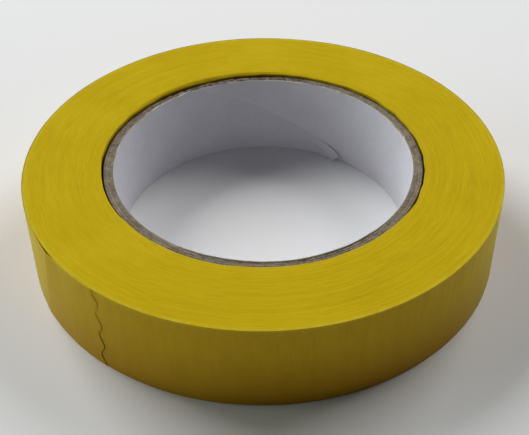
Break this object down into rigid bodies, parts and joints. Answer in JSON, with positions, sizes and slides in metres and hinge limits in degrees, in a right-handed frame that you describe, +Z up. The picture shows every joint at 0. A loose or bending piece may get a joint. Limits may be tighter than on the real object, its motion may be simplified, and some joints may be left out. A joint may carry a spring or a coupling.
{
  "type": "masking tape roll",
  "caption": "Roll of creped paper masking tape wound on a spiral paper core, with a torn free end that peels off the outer turn.",
  "frame": {"origin": "centre of the roll's bottom face, on the roll's axis", "axes": "+Z up the roll's axis; the torn end of the tape is at -127 degrees about +Z from +X, and the tape is wound counter-clockwise seen from above"},
  "size_m": [0.1215, 0.1215, 0.024],
  "materials": {
    "liner_paper": "matte white paper lining of the core's bore",
    "core_board": "matte grey-brown recycled paperboard with fibrous cut edges",
    "kraft_ply": "matte brown kraft paper",
    "tape": "matte yellow creped paper with a faint sheen"
  },
  "bodies": {
    "roll": {"core_liner": "liner_paper", "core_board_ply_1": "core_board", "core_board_ply_2": "core_board", "core_board_ply_3": "core_board", "core_board_ply_4": "core_board", "core_outer_ply": "kraft_ply", "wound_tape": "tape", "outer_turn": "tape"},
    "free_length_1": {"tape_end_1": "tape"},
    "free_length_2": {"tape_end_2": "tape"},
    "free_length_3": {"tape_end_3": "tape"},
    "free_length_4": {"tape_end_4": "tape"},
    "free_length_5": {"tape_end_5": "tape"}
  },
  "joints": [
    {"name": "peel_1", "type": "hinge", "parent": "roll", "child": "free_length_1", "pos_m": [-0.05868, -0.01594, 0.012], "axis": [0, 0, -1], "range_deg": [0, 30]},
    {"name": "peel_2", "type": "hinge", "parent": "free_length_1", "child": "free_length_2", "pos_m": [-0.0561, -0.02347, 0.012], "axis": [0, 0, -1], "range_deg": [0, 15]},
    {"name": "peel_3", "type": "hinge", "parent": "free_length_2", "child": "free_length_3", "pos_m": [-0.05256, -0.03059, 0.012], "axis": [0, 0, -1], "range_deg": [0, 15]},
    {"name": "peel_4", "type": "hinge", "parent": "free_length_3", "child": "free_length_4", "pos_m": [-0.04812, -0.03719, 0.012], "axis": [0, 0, -1], "range_deg": [0, 15]},
    {"name": "peel_5", "type": "hinge", "parent": "free_length_4", "child": "free_length_5", "pos_m": [-0.04285, -0.04315, 0.012], "axis": [0, 0, -1], "range_deg": [0, 15]}
  ],
  "couplings": [
    {"joint": "peel_2", "follows": "peel_1", "ratio": 0.5},
    {"joint": "peel_3", "follows": "peel_1", "ratio": 0.5},
    {"joint": "peel_4", "follows": "peel_1", "ratio": 0.5},
    {"joint": "peel_5", "follows": "peel_1", "ratio": 0.5}
  ]
}
